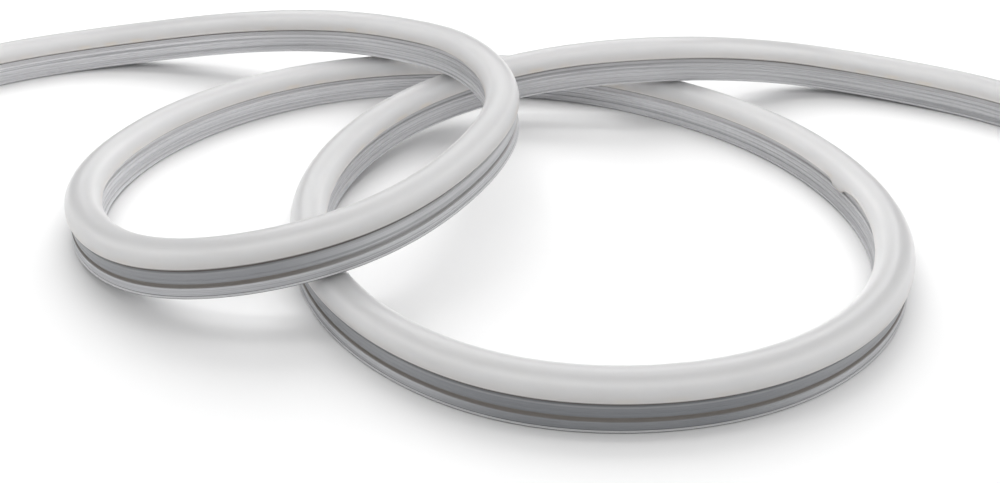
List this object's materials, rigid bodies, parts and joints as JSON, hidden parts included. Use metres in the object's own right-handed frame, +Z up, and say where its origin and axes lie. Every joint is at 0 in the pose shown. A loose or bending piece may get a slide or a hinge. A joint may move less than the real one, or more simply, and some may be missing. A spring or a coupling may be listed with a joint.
{
  "type": "led neon flex",
  "caption": "Length of LED neon flex lying in two loose loops: a milky rounded diffuser on a grey translucent base channel with a grooved outer wall and a ribbed inner wall.",
  "frame": {"origin": "middle of the footprint on the floor under the loops", "axes": "+Z up from the floor, +X along the longest side from the left free end to the right one, +Y away from the viewer of the picture"},
  "size_m": [0.614, 0.3083, 0.0571],
  "materials": {
    "diffuser": "milky silicone with a soft gloss",
    "base_channel": "grey translucent silicone with a soft gloss"
  },
  "bodies": {
    "root": {"diffuser": "diffuser", "base_channel": "base_channel"}
  },
  "joints": []
}
